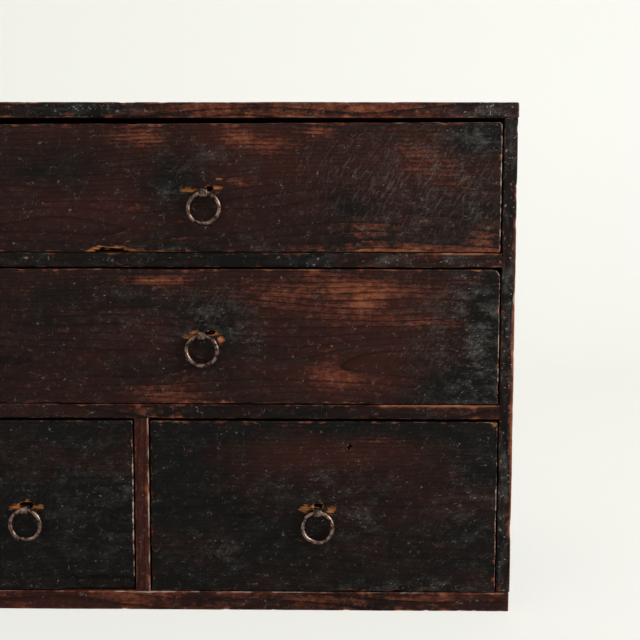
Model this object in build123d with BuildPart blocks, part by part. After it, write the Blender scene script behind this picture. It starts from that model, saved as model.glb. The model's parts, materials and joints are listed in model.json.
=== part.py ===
from build123d import *

import os
from math import degrees
from typing import NamedTuple

# Small tansu chest: a board case with two full-width drawers over an unequal pair.
#
# Frame: millimetres, +X to the right, +Y to the back, +Z up. The origin is the centre of the
# case's underside, so the front of the case lies at Y = -case_depth / 2.

# ---------------------------------------------------------------- case
case_width = 443.0  # over the outer faces of the side boards
case_depth = 242.0
case_height = 366.0
top_thickness = 11.0
top_overhang = 0.6  # the top board stands out this far past each side board
bottom_thickness = 14.0
bottom_inset = 0.8  # the bottom board ends this far inside the outer face of each side board
side_thickness = 10.0
shelf_thickness = 10.4
partition_thickness = 10.5
small_bay_width = 160.5  # bay of the lower left drawer
top_bay_height = 94.5
middle_bay_height = 98.2
case_arris = 1.2  # rounding of the case's exposed edges

# A shelf or the partition is let into a stopped housing: its ears are hidden behind square
# shoulders, which is why only a butt line shows at the front.
shelf_housing_depth = 4.0
partition_housing_depth = 3.0
housing_setback = 12.0  # from the front of the case to the start of a housing
housing_clearance = 0.1

back_thickness = 6.5
back_rebate = 5.0  # how far the back planks lap over each side board
back_plank_count = 3
back_plank_gap = 0.4  # shrinkage gap between planks, and round their ends

# ---------------------------------------------------------------- drawers
drawer_side_gap = 0.9  # beside a drawer, at each side
front_lift = 0.5  # the front board clears the shelf, so that only the bottom board rubs
front_thickness = 12.5
front_lip = 6.5  # thickness left in front of the rebates that take the sides and bottom
front_arris = 0.8  # rounding of the front edges of drawers, shelves and the partition
drawer_side_thickness = 7.0
drawer_back_thickness = 7.0
drawer_bottom_thickness = 5.5
side_drop = 4.0  # the sides and back are lower than the front board
drawer_stop_gap = 0.5  # a shut drawer stops on the back planks

# ---------------------------------------------------------------- whittled pegs
peg_width = 2.4  # square section
top_peg_length = 26.0
bottom_peg_length = 28.0
shelf_peg_length = 24.0
back_peg_length = 18.0
drawer_peg_length = 16.0
end_margin = 18.0  # from a board's end to its first peg
board_peg_count = 5  # along each side board, top and bottom
shelf_peg_count = 3  # into each end of a shelf, and into each end of the partition
back_shelf_peg_count = 3  # through the back into each shelf
plank_peg_margin = 22.0  # from a plank's edge to its peg
wall_peg_count = 3  # up each corner of a drawer
under_side_peg_count = 4  # up through a drawer's bottom into each side
under_end_peg_count = 3  # up through it into the front and into the back
cross_margin = 36.0  # from a drawer's corner to the first of those

# ---------------------------------------------------------------- ring pulls
wire_radius = 1.7
ring_radius = 10.8  # to the middle of the wire
ring_split_gap = 0.8  # the wire's two ends almost meet
strap_width = 5.6
strap_thickness = 1.2
eye_clearance = 0.55  # between the wire and the inside of the eye
eye_stand = 0.8  # from the front board to the back of the eye
strap_slit = 0.2  # between the two legs of the split pin
foot_length = 10.0  # each leg is clinched over this far inside the drawer
pin_hole_clearance = 0.3

# ---------------------------------------------------------------- worked out from the above
case_front = -case_depth / 2
case_back = case_depth / 2
back_face = case_back - back_thickness  # front of the back planks
outer_left = -case_width / 2
outer_right = case_width / 2
inner_left = outer_left + side_thickness
inner_right = outer_right - side_thickness
top_underside = case_height - top_thickness
top_bay = (top_underside - top_bay_height, top_underside)
upper_shelf_z = (top_bay[0] - shelf_thickness, top_bay[0])
middle_bay = (upper_shelf_z[0] - middle_bay_height, upper_shelf_z[0])
lower_shelf_z = (middle_bay[0] - shelf_thickness, middle_bay[0])
low_bay = (bottom_thickness, lower_shelf_z[0])
partition_x = (inner_left + small_bay_width, inner_left + small_bay_width + partition_thickness)
partition_middle = sum(partition_x) / 2
eye_radius = wire_radius + eye_clearance
eye_outer_radius = eye_radius + strap_thickness
pivot_y = case_front - eye_stand - eye_outer_radius


class DrawerPlan(NamedTuple):
    """What is particular to one drawer."""

    name: str
    bay_x: tuple
    bay_z: tuple
    top_gap: float  # above the front board, from shrinkage and wear
    pull_shift: tuple  # of the pull from the middle of the front board, in X and Z
    split_angle: float  # where the ring's ends meet, anticlockwise from +X seen from the front


drawer_plans = [
    DrawerPlan("top_drawer", (inner_left, inner_right), top_bay, 2.7, (1.0, -4.2), 236.0),
    DrawerPlan("middle_drawer", (inner_left, inner_right), middle_bay, 1.0, (-1.0, 1.1), 53.0),
    DrawerPlan("lower_left_drawer", (inner_left, partition_x[0]), low_bay, 1.6, (1.5, -2.0), 250.0),
    DrawerPlan("lower_right_drawer", (partition_x[1], inner_right), low_bay, 1.6, (-4.0, -3.0), 145.0),
]


# ---------------------------------------------------------------- helpers
def slab(x, y, z, mode=Mode.ADD):
    """Adds a block to the part being built, or cuts it away. Each span is (low, high)."""
    with Locations((sum(x) / 2, sum(y) / 2, sum(z) / 2)):
        Box(x[1] - x[0], y[1] - y[0], z[1] - z[0], mode=mode)


def grown(span, amount):
    """The span with both ends moved outwards."""
    return (span[0] - amount, span[1] + amount)


def spaced(span, count, margin):
    """Evenly spaced places along a span, the first and last a margin from its ends."""
    if count == 1:
        return [sum(span) / 2]
    step = (span[1] - span[0] - 2 * margin) / (count - 1)
    return [span[0] + margin + i * step for i in range(count)]


class PegRow(NamedTuple):
    """Pegs that are driven the same way: the size of each and the middles of them all."""

    size: tuple
    middles: list


def peg_row(axis, head, tip, places):
    """Pegs along one axis, from head to tip. Each place is a peg's other two coordinates."""
    half_way = (head + tip) / 2
    length = abs(tip - head)
    if axis == "x":
        return PegRow((length, peg_width, peg_width), [(half_way, y, z) for y, z in places])
    if axis == "y":
        return PegRow((peg_width, length, peg_width), [(x, half_way, z) for x, z in places])
    return PegRow((peg_width, peg_width, length), [(x, y, half_way) for x, y in places])


def grid(first, second):
    """Every pair of a value from the first list and one from the second."""
    return [(a, b) for a in first for b in second]


def drive(rows, mode=Mode.ADD):
    """Adds the rows of pegs to the part being built."""
    for row in rows:
        with Locations(*row.middles):
            Box(*row.size, mode=mode)


def bore(rows):
    """Cuts the holes that the pegs are driven into."""
    drive(rows, mode=Mode.SUBTRACT)


def save(builder, name):
    """Labels a finished piece and writes it as parts/NAME.step."""
    builder.part.label = name
    export_step(builder.part, f"parts/{name}.step")


def save_pegs(name, rows):
    """Builds one group of pegs as separate solids."""
    with BuildPart() as group:
        drive(rows)
    save(group, name)


# ---------------------------------------------------------------- case pegs
side_middles = [outer_left + side_thickness / 2, outer_right - side_thickness / 2]
shelf_middles = [sum(upper_shelf_z) / 2, sum(lower_shelf_z) / 2]
board_peg_ys = spaced((case_front, case_back), board_peg_count, end_margin)
shelf_peg_ys = spaced((case_front, back_face), shelf_peg_count, end_margin)
shelf_peg_xs = spaced((inner_left, inner_right), back_shelf_peg_count + 2, 0)[1:-1]

plank_height = (
    top_underside - bottom_thickness - back_plank_gap * (back_plank_count + 1)
) / back_plank_count
plank_x = (inner_left - back_rebate + back_plank_gap, inner_right + back_rebate - back_plank_gap)
plank_spans = []
for i in range(back_plank_count):
    plank_foot = bottom_thickness + back_plank_gap + i * (plank_height + back_plank_gap)
    plank_spans.append((plank_foot, plank_foot + plank_height))
rebate_middles = [inner_left - back_rebate / 2, inner_right + back_rebate / 2]
plank_peg_zs = [z for plank_z in plank_spans for z in spaced(plank_z, 2, plank_peg_margin)]

top_tip = case_height - top_peg_length
top_pegs = [peg_row("z", case_height, top_tip, grid(side_middles, board_peg_ys))]
bottom_places = grid(side_middles, board_peg_ys) + grid([partition_middle], shelf_peg_ys)
bottom_pegs = [peg_row("z", 0, bottom_peg_length, bottom_places)]
shelf_places = grid(shelf_peg_ys, shelf_middles)
partition_tip = lower_shelf_z[1] - shelf_peg_length
shelf_pegs = [
    peg_row("x", outer_left, outer_left + shelf_peg_length, shelf_places),
    peg_row("x", outer_right, outer_right - shelf_peg_length, shelf_places),
    peg_row("z", lower_shelf_z[1], partition_tip, grid([partition_middle], shelf_peg_ys)),
]
back_places = grid(rebate_middles, plank_peg_zs) + grid(shelf_peg_xs, shelf_middles)
back_pegs = [peg_row("y", case_back, case_back - back_peg_length, back_places)]


# ---------------------------------------------------------------- case boards
def make_top_board():
    """The lid board, laid over both side boards."""
    with BuildPart() as top_board:
        slab(
            (outer_left - top_overhang, outer_right + top_overhang),
            (case_front, case_back),
            (top_underside, case_height),
        )
        fillet(top_board.edges(), case_arris)
        bore(top_pegs)
    save(top_board, "top_board")


def make_bottom_board():
    """The board that the case stands on. The side boards and the partition stand on it."""
    with BuildPart() as bottom_board:
        slab(
            (outer_left + bottom_inset, outer_right - bottom_inset),
            (case_front, case_back),
            (0, bottom_thickness),
        )
        fillet(bottom_board.edges().filter_by(Axis.Z), case_arris)
        fillet(bottom_board.edges().filter_by(Axis.X).group_by(Axis.Y)[0], case_arris)
        slab(
            grown(partition_x, housing_clearance),
            (case_front + housing_setback, back_face),
            (bottom_thickness - partition_housing_depth - housing_clearance, bottom_thickness),
            mode=Mode.SUBTRACT,
        )
        bore(bottom_pegs)
    save(bottom_board, "bottom_board")


def make_side_board(name, inward):
    """A side board with a housing for each shelf and a rebate for the back planks.

    inward is +1 on the left board and -1 on the right one, pointing into the case.
    """
    outer = -inward * case_width / 2
    inner = outer + inward * side_thickness
    housing_floor = inner - inward * (shelf_housing_depth + housing_clearance)
    rebate_floor = inner - inward * back_rebate
    with BuildPart() as side_board:
        slab(
            tuple(sorted((outer, inner))),
            (case_front, case_back),
            (bottom_thickness, top_underside),
        )
        fillet(side_board.edges().filter_by(Axis.Z).group_by(Axis.Y)[0], case_arris)
        fillet(side_board.edges().filter_by(Axis.Z).group_by(Axis.Y)[-1], case_arris)
        for shelf_z in (upper_shelf_z, lower_shelf_z):
            slab(
                tuple(sorted((housing_floor, inner))),
                (case_front + housing_setback, back_face),
                grown(shelf_z, housing_clearance),
                mode=Mode.SUBTRACT,
            )
        slab(
            tuple(sorted((rebate_floor, inner))),
            (back_face, case_back),
            (bottom_thickness, top_underside),
            mode=Mode.SUBTRACT,
        )
        bore(top_pegs + bottom_pegs + shelf_pegs + back_pegs)
    save(side_board, name)


def make_shelf(name, shelf_z, holds_partition):
    """A full-depth shelf. Behind its square shoulders, an ear at each end enters a side board."""
    with BuildPart() as shelf:
        slab((inner_left, inner_right), (case_front, back_face), shelf_z)
        fillet(shelf.edges().filter_by(Axis.X).group_by(Axis.Y)[0], front_arris)
        slab(
            (inner_left - shelf_housing_depth, inner_right + shelf_housing_depth),
            (case_front + housing_setback + housing_clearance, back_face),
            shelf_z,
        )
        if holds_partition:
            slab(
                grown(partition_x, housing_clearance),
                (case_front + housing_setback, back_face),
                (shelf_z[0], shelf_z[0] + partition_housing_depth + housing_clearance),
                mode=Mode.SUBTRACT,
            )
        bore(shelf_pegs + back_pegs)
    save(shelf, name)


def make_partition():
    """The upright between the two lower drawers, let into the shelf above and the bottom board."""
    with BuildPart() as partition:
        slab(partition_x, (case_front, back_face), low_bay)
        fillet(partition.edges().filter_by(Axis.Z).group_by(Axis.Y)[0], front_arris)
        slab(
            partition_x,
            (case_front + housing_setback + housing_clearance, back_face),
            grown(low_bay, partition_housing_depth),
        )
        bore(bottom_pegs + shelf_pegs)
    save(partition, "partition")


def make_back_planks():
    """Thin planks laid edge to edge in the rebates of the side boards."""
    for i, plank_z in enumerate(plank_spans):
        with BuildPart() as plank:
            slab(plank_x, (back_face, case_back), plank_z)
            bore(back_pegs)
        save(plank, f"back_plank_{i + 1}")


# ---------------------------------------------------------------- drawers
class DrawerSpans:
    """Where each board of a drawer lies, worked out from the drawer's bay."""

    def __init__(self, plan):
        foot = plan.bay_z[0]
        self.x = (plan.bay_x[0] + drawer_side_gap, plan.bay_x[1] - drawer_side_gap)
        self.front_y = (case_front, case_front + front_thickness)
        self.front_z = (foot + front_lift, plan.bay_z[1] - plan.top_gap)
        self.box_y = (case_front + front_lip, back_face - drawer_stop_gap)
        self.bottom_z = (foot, foot + drawer_bottom_thickness)
        self.wall_z = (self.bottom_z[1], self.front_z[1] - side_drop)
        self.left_x = (self.x[0], self.x[0] + drawer_side_thickness)
        self.right_x = (self.x[1] - drawer_side_thickness, self.x[1])
        self.back_x = (self.left_x[1], self.right_x[0])
        self.back_y = (self.box_y[1] - drawer_back_thickness, self.box_y[1])
        self.rebate_y = (self.box_y[0], self.front_y[1])
        self.pull_x = sum(self.x) / 2 + plan.pull_shift[0]
        self.pull_z = sum(self.front_z) / 2 + plan.pull_shift[1]


def drawer_pegs(at):
    """Pegs through the drawer's sides into its front and back, and up through its bottom."""
    rebate_middle = sum(at.rebate_y) / 2
    back_middle = sum(at.back_y) / 2
    wall_places = grid([rebate_middle, back_middle], spaced(at.wall_z, wall_peg_count, end_margin))
    side_xs = [sum(at.left_x) / 2, sum(at.right_x) / 2]
    side_ys = spaced((at.front_y[1], at.back_y[0]), under_side_peg_count, end_margin)
    cross_xs = spaced(at.back_x, under_end_peg_count, cross_margin)
    under_places = grid(side_xs, side_ys) + grid(cross_xs, [rebate_middle, back_middle])
    head = at.bottom_z[0]
    return [
        peg_row("x", at.x[0], at.x[0] + drawer_peg_length, wall_places),
        peg_row("x", at.x[1], at.x[1] - drawer_peg_length, wall_places),
        peg_row("z", head, head + drawer_peg_length, under_places),
    ]


def make_drawer_front(name, at, pegs):
    """The front board, rebated behind for the sides and the bottom, with the pin's slot."""
    with BuildPart() as front:
        slab(at.x, at.front_y, at.front_z)
        fillet(front.faces().sort_by(Axis.Y)[0].edges(), front_arris)
        for end_x in (at.left_x, at.right_x):
            slab(end_x, at.rebate_y, at.front_z, mode=Mode.SUBTRACT)
        slab(at.x, at.rebate_y, (at.front_z[0], at.bottom_z[1]), mode=Mode.SUBTRACT)
        slab(
            grown((at.pull_x, at.pull_x), strap_width / 2 + pin_hole_clearance),
            at.front_y,
            grown((at.pull_z, at.pull_z), strap_thickness + strap_slit / 2 + pin_hole_clearance),
            mode=Mode.SUBTRACT,
        )
        bore(pegs)
    save(front, f"{name}_front")


def make_drawer_wall(label, x, y, z, pegs):
    """A plain drawer board with its peg holes."""
    with BuildPart() as wall:
        slab(x, y, z)
        bore(pegs)
    save(wall, label)


def make_pin(name, at):
    """The split pin: one iron strap bent round into an eye, its legs clinched inside."""
    inner_face = at.front_y[1]
    shank_half = strap_thickness + strap_slit / 2
    foot_reach = shank_half + foot_length
    with BuildPart() as pin:
        with BuildSketch(Plane.YZ.offset(at.pull_x)):
            with Locations((pivot_y, at.pull_z)):
                Circle(eye_outer_radius)
            with Locations(((pivot_y + inner_face) / 2, at.pull_z)):
                Rectangle(inner_face - pivot_y, 2 * shank_half)
            with Locations((inner_face + strap_thickness / 2, at.pull_z)):
                Rectangle(strap_thickness, 2 * foot_reach)
            with Locations((pivot_y, at.pull_z)):
                Circle(eye_radius, mode=Mode.SUBTRACT)
            with Locations(((pivot_y + inner_face) / 2 + strap_thickness, at.pull_z)):
                Rectangle(inner_face - pivot_y + 2 * strap_thickness, strap_slit, mode=Mode.SUBTRACT)
        extrude(amount=strap_width / 2, both=True)
        tips = pin.edges().filter_by(Axis.Y).group_by(Axis.Z)
        chamfer(tips[0] + tips[-1], strap_thickness)
    save(pin, f"{name}_pin")


def make_ring(name, at, split_angle):
    """The ring: one length of wire bent round through the eye until its ends almost meet."""
    centre = Vector(at.pull_x, pivot_y, at.pull_z - ring_radius)
    gap_angle = degrees(ring_split_gap / ring_radius)
    first_end = split_angle + gap_angle / 2
    outward = Vector(1, 0, 0).rotate(Axis.Y, -first_end)
    along = Vector(0, 0, 1).rotate(Axis.Y, -first_end)
    with BuildPart() as ring:
        with BuildSketch(Plane(origin=centre + outward * ring_radius, x_dir=outward, z_dir=along)):
            Circle(wire_radius)
        revolve(axis=Axis(centre, (0, -1, 0)), revolution_arc=360 - gap_angle)
    save(ring, f"{name}_ring")


def make_drawer(plan):
    """All the pieces of one drawer and its pull."""
    at = DrawerSpans(plan)
    pegs = drawer_pegs(at)
    make_drawer_front(plan.name, at, pegs)
    make_drawer_wall(f"{plan.name}_left_side", at.left_x, at.box_y, at.wall_z, pegs)
    make_drawer_wall(f"{plan.name}_right_side", at.right_x, at.box_y, at.wall_z, pegs)
    make_drawer_wall(f"{plan.name}_back", at.back_x, at.back_y, at.wall_z, pegs)
    make_drawer_wall(f"{plan.name}_bottom", at.x, at.box_y, at.bottom_z, pegs)
    save_pegs(f"{plan.name}_pegs", pegs)
    make_pin(plan.name, at)
    make_ring(plan.name, at, plan.split_angle)


# ---------------------------------------------------------------- build
os.makedirs("parts", exist_ok=True)
make_top_board()
make_bottom_board()
make_side_board("left_side_board", 1)
make_side_board("right_side_board", -1)
make_shelf("upper_shelf", upper_shelf_z, holds_partition=False)
make_shelf("lower_shelf", lower_shelf_z, holds_partition=True)
make_partition()
make_back_planks()
save_pegs("top_pegs", top_pegs)
save_pegs("bottom_pegs", bottom_pegs)
save_pegs("shelf_pegs", shelf_pegs)
save_pegs("back_pegs", back_pegs)
for drawer_plan in drawer_plans:
    make_drawer(drawer_plan)
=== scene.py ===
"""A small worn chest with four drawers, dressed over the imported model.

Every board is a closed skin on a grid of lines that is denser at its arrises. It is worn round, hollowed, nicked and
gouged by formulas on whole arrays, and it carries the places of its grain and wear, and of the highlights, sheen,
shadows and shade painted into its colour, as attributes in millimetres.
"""

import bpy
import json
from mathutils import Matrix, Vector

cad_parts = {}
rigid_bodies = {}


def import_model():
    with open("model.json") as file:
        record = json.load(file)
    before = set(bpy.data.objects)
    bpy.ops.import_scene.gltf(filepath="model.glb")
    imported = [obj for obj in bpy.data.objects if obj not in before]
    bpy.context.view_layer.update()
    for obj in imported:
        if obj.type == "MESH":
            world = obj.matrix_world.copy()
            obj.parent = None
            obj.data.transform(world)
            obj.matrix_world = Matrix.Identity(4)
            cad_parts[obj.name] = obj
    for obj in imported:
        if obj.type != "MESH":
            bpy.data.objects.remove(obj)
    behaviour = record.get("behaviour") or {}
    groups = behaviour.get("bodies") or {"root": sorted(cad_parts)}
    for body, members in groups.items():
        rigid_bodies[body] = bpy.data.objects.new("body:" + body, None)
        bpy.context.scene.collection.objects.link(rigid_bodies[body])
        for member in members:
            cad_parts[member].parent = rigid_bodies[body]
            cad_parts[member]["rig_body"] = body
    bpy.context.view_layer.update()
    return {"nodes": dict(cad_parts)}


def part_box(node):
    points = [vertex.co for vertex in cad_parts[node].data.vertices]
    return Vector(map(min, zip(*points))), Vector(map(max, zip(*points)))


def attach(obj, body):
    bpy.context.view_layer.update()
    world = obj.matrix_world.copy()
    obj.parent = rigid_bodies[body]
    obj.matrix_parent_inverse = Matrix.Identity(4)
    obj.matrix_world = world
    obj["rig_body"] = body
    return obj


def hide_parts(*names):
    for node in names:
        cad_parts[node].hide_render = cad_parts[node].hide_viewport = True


bl_info = {
    "name": "Small worn chest",
    "version": (1, 0, 0),
    "blender": (4, 5, 0),
    "location": "3D View > Sidebar > Chest",
    "description": "Dresses the packed chest in worn lacquered wood and hammered iron",
    "category": "Object",
}

import json
import math
from typing import NamedTuple

import bpy
import numpy as np
from bpy.props import FloatProperty, FloatVectorProperty, PointerProperty
from mathutils import Matrix, Vector

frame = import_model()

MM = 0.001  # one millimetre in Blender's metres


# ---------------------------------------------------------------- colours and nodes
def linear(code):
    """An sRGB hex colour as linear red, green and blue: the sRGB curve undone for each channel."""
    parts = [int(code[i : i + 2], 16) / 255 for i in (1, 3, 5)]
    return tuple(c / 12.92 if c <= 0.04045 else ((c + 0.055) / 1.055) ** 2.4 for c in parts)


def add(tree, kind, sockets=None, **settings):
    """Adds a shader node with its settings, and links or sets its input sockets by name or place. A Map Range takes its
    value at 0, the range it comes from at 1 and 2, and the one it goes to at 3 and 4. A Mix takes its share at 0 and
    its colours at 6 and 7."""
    node = tree.nodes.new("ShaderNode" + kind)
    for name, value in settings.items():
        setattr(node, name, value)
    for key, value in (sockets or {}).items():
        if isinstance(value, bpy.types.Node):
            value = value.outputs[0]
        if isinstance(value, bpy.types.NodeSocket):
            tree.links.new(value, node.inputs[key])
        else:
            node.inputs[key].default_value = value
    return node


def new_material(name):
    """An empty node material and its tree."""
    material = bpy.data.materials.new(name)
    material.use_nodes = True
    material.node_tree.nodes.clear()
    return material, material.node_tree


# ---------------------------------------------------------------- settings
def colour_setting(name, description, code):
    """A colour with an sRGB hex default."""
    return FloatVectorProperty(
        name=name, description=description, subtype="COLOR", size=3, min=0, max=1, default=linear(code)
    )


def length_setting(name, description, millimetres, most):
    """A length in metres whose default and limit are given in millimetres."""
    limits = {"min": 0, "max": most * MM, "default": millimetres * MM}
    return FloatProperty(name=name, description=description, subtype="DISTANCE", unit="LENGTH", **limits)


def power_setting(name, description, watts):
    """The power of a lamp."""
    return FloatProperty(name=name, description=description, unit="POWER", min=0, max=500, default=watts)


class ChestLacquer(bpy.types.PropertyGroup):
    """Colours of the lacquered boards."""

    black: colour_setting("Black lacquer", "Lacquer where it is thick and old", "#0a0908")
    maroon: colour_setting("Red lacquer", "Lacquer where it is thin over the wood", "#2c130f")
    red_wood: colour_setting("Red wood", "Stained wood where the lacquer is rubbed through", "#562c1e")
    orange_wood: colour_setting("Orange wood", "Wood rubbed bare of lacquer", "#75472f")
    # pale wood of the rubbed arrises, also used for the painted highlight on arrises that face the lamp
    arris: colour_setting("Arris", "Pale wood along the rubbed arrises", "#8d7b70")
    fleck: colour_setting("Fleck", "Chipped and dusty specks", "#756d67")
    # this grey also paints the sheen on the parts nearest the lamp at the right
    dust: colour_setting("Dust", "Greenish grey film in the lacquer's hollows", "#3d3b38")
    raw: colour_setting("Raw wood", "Torn wood", "#9a6039")


class ChestWood(bpy.types.PropertyGroup):
    """Colours of the bare inner wood and of the pegs."""

    early: colour_setting("Early wood", "Pale part of a growth ring", "#8f6a48")
    late: colour_setting("Late wood", "Dark part of a growth ring", "#5f402a")
    dust: colour_setting("Soiling", "Grey soiling in the bare wood", "#4b3a2e")
    peg: colour_setting("Peg", "End grain of the pegs", "#573722")


class ChestIron(bpy.types.PropertyGroup):
    """Colours and hammer marks of the pulls."""

    dark: colour_setting("Dark patina", "Iron in its hollows", "#271c17")
    bright: colour_setting("Rubbed iron", "Iron rubbed by hands", "#745f55")
    hammering: length_setting("Hammering", "How far the hammer's facets sink into the wire", 0.07, 1)


class ChestWear(bpy.types.PropertyGroup):
    """How far wear has eaten into the boards."""

    hollow: length_setting("Hollowing", "Deepest hollow of a board's faces", 0.3, 2)
    rounding: FloatProperty(
        name="Rounding", description="Factor on every arris's rounding", subtype="FACTOR", min=0.2, max=2, default=1
    )


class ChestStage(bpy.types.PropertyGroup):
    """Light and floor."""

    floor: colour_setting("Floor", "Colour of the floor and backdrop", "#f8f8f2")
    window: power_setting("Window", "Power of the large soft lamp at the right", 78)
    fill: power_setting("Fill", "Power of the weak lamp at the front left", 10)
    sky: FloatProperty(
        name="Sky", description="Strength of the light from all round", subtype="FACTOR", min=0, max=1, default=0.42
    )


# ---------------------------------------------------------------- noise
def value_noise(points, size, seed):
    """Smooth random heights from 0 to 1. Each corner of a lattice of that size gets a random number from a hash of its
    three whole coordinates, and the eight around a point are blended by 3t^2 - 2t^3 along each axis."""
    scaled = points / np.asarray(size, float) + 1000.37
    low = np.floor(scaled).astype(np.int64)
    part = scaled - low
    part = part * part * (3 - 2 * part)
    total = np.zeros(len(points))
    for corner in np.ndindex(2, 2, 2):
        cell = (low + corner).astype(np.uint64)
        mixed = cell[:, 0] * 73856093 ^ cell[:, 1] * 19349663 ^ cell[:, 2] * 83492791 ^ np.uint64(seed * 2654435761)
        mixed = (mixed ^ mixed >> 15) * 2246822519 & 0xFFFFFFFF
        mixed = (mixed ^ mixed >> 13) * 3266489917 & 0xFFFFFFFF
        weight = np.prod(np.where(corner, part, 1 - part), axis=1)
        total += weight * ((mixed ^ mixed >> 16) & 0xFFFFFF) / 0xFFFFFF
    return total


def soft_spots(points, spots, edge=1):
    """The sum of soft ellipses in the X-Z plane, each its strength times exp(-((dx/rx)^2 + (dz/rz)^2)^edge)."""
    total = np.zeros(len(points))
    for x, z, half_width, half_height, strength in spots:
        reach = ((points[:, 0] - x) / half_width) ** 2 + ((points[:, 2] - z) / half_height) ** 2
        total += strength * np.exp(-(reach**edge))
    return total


# ---------------------------------------------------------------- skins
def new_piece(name, points, faces, node, material):
    """A closed mesh from points in millimetres and quads. It replaces that CAD node, and rides where the node rides.
    The faces are turned over if the volume under them, the sum of a.(b x c) / 6 over their triangles, is negative."""
    a, b, c, d = (points[faces[:, i]] for i in range(4))
    volume = np.einsum("ij,ij->", a, np.cross(b, c)) + np.einsum("ij,ij->", a, np.cross(c, d))
    if volume < 0:
        faces = faces[:, ::-1]
    mesh = bpy.data.meshes.new(name)
    mesh.vertices.add(len(points))
    mesh.vertices.foreach_set("co", (points * MM).ravel())
    mesh.loops.add(faces.size)
    mesh.loops.foreach_set("vertex_index", np.ascontiguousarray(faces).ravel())
    mesh.polygons.add(len(faces))
    mesh.polygons.foreach_set("loop_start", np.arange(0, faces.size, 4))
    mesh.update(calc_edges=True)
    mesh.shade_smooth()
    mesh.materials.append(material)
    piece = bpy.data.objects.new(name, mesh)
    bpy.context.scene.collection.objects.link(piece)
    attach(piece, frame["nodes"][node]["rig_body"])
    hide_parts(node)
    return piece


def write_attribute(piece, name, values):
    """Writes one number or vector for each vertex."""
    vector = values.ndim == 2
    kind = "FLOAT_VECTOR" if vector else "FLOAT"
    layer = piece.data.attributes.new(name, kind, "POINT")
    layer.data.foreach_set("vector" if vector else "value", values.ravel())


# ---------------------------------------------------------------- boards
class Board(NamedTuple):
    """One board of the chest and how it is worn. Lengths are in millimetres and places are in the row frame."""

    node: str
    grain: str  # the axis that its fibres follow
    hidden: tuple = ()  # outer faces, or arrises as two faces, that lie against another board
    step: tuple = (2.0, 2.0, 2.0)  # spacing of the grid's lines along X, Y and Z
    arris: float = 0.8  # how far its open arrises are rubbed round
    worn: float = 0.3  # how much lacquer is rubbed through all over, from 0 to 1
    tone: float = 0.4  # from 0, black lacquer, to 1, red
    worn_spots: tuple = ()  # x, z, half width, half height, strength
    # spots that make the lacquer redder or blacker; the black ones beside the pulls are a painted shadow of the rings
    tone_spots: tuple = ()
    scratch_spots: tuple = ()
    pale_spots: tuple = ()  # where the arrises are paler, from wear and as a painted highlight of the lamp at the right
    # grey dust, and on the parts nearest the lamp at the right a painted sheen
    dust_spots: tuple = ()
    gouges: tuple = ()  # x, z, half width, half height, depth
    level: tuple = ()  # further faces that another board lies on, so they aren't hollowed
    lost: tuple = ()  # from which x, up to which z and how deep the front's lower edge is worn away
    corners: tuple = ()  # x side, z side and radius of a corner worn round
    nicks: int = 30
    droop: float = 0.0  # how much lower the top edge is at its left end than at its right
    fine: tuple = ()  # the axis, start, end and spacing of extra lines, as by a pull


def node_triangles(node):
    """A CAD node's triangles in millimetres, as an array of triangle, corner and axis."""
    mesh = frame["nodes"][node].data
    points = np.empty(len(mesh.vertices) * 3)
    mesh.vertices.foreach_get("co", points)
    corners = np.empty(len(mesh.loops), np.int32)
    mesh.loops.foreach_get("vertex_index", corners)
    return points.reshape(-1, 3)[corners].reshape(-1, 3, 3) / MM


def solid_cells(node):
    """The planes of a board's flat faces along each axis, and which of the cells between them are wood. A cell is wood
    when an odd number of faces square to X lies on its left."""
    triangles = node_triangles(node)
    normals = np.cross(triangles[:, 1] - triangles[:, 0], triangles[:, 2] - triangles[:, 0])
    sizes = np.linalg.norm(normals, axis=1)
    square = np.abs(normals) > 0.9999 * np.maximum(sizes, 0.5)[:, None]
    lines = []
    for axis in range(3):
        planes = np.sort(triangles[square[:, axis], 0, axis])
        lines.append(planes[np.append(True, np.diff(planes) > 0.02)])
    x, y, z = (0.53 * line[:-1] + 0.47 * line[1:] for line in lines)
    y, z = (grid.ravel() for grid in np.meshgrid(y, 0.97 * z + 0.03 * lines[2][1:], indexing="ij"))
    sides = triangles[square[:, 0]]
    a, b, c = (sides[:, i, 1:] for i in range(3))
    turns = [
        (q[:, 0] - p[:, 0]) * (z[:, None] - p[:, 1]) - (q[:, 1] - p[:, 1]) * (y[:, None] - p[:, 0])
        for p, q in ((a, b), (b, c), (c, a))
    ]
    covered = (np.min(turns, axis=0) > 0) | (np.max(turns, axis=0) < 0)
    left = sides[:, 0, 0] < x[:, None]
    crossed = left.astype(int) @ covered.T.astype(int)
    return lines, (crossed % 2 == 1).reshape(len(x), len(lines[1]) - 1, len(lines[2]) - 1)


def fine_lines(planes, step, extra=()):
    """The planes with more lines between them, a step apart, and close together by the two outer ones."""
    close = np.array([0.15, 0.35, 0.6, 0.9, 1.3, 1.8, 2.6])
    spans = [np.linspace(a, b, max(2, math.ceil((b - a) / step) + 1)) for a, b in zip(planes[:-1], planes[1:])]
    spans += [np.arange(start, end, spacing) for start, end, spacing in extra]
    more = np.unique(np.round(np.concatenate([planes[0] + close, planes[-1] - close, *spans]), 1))
    more = more[(more > planes[0]) & (more < planes[-1])]
    clear = np.abs(more[:, None] - planes).min(axis=1) > 0.09
    return np.sort(np.concatenate([planes, more[clear]]))


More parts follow.
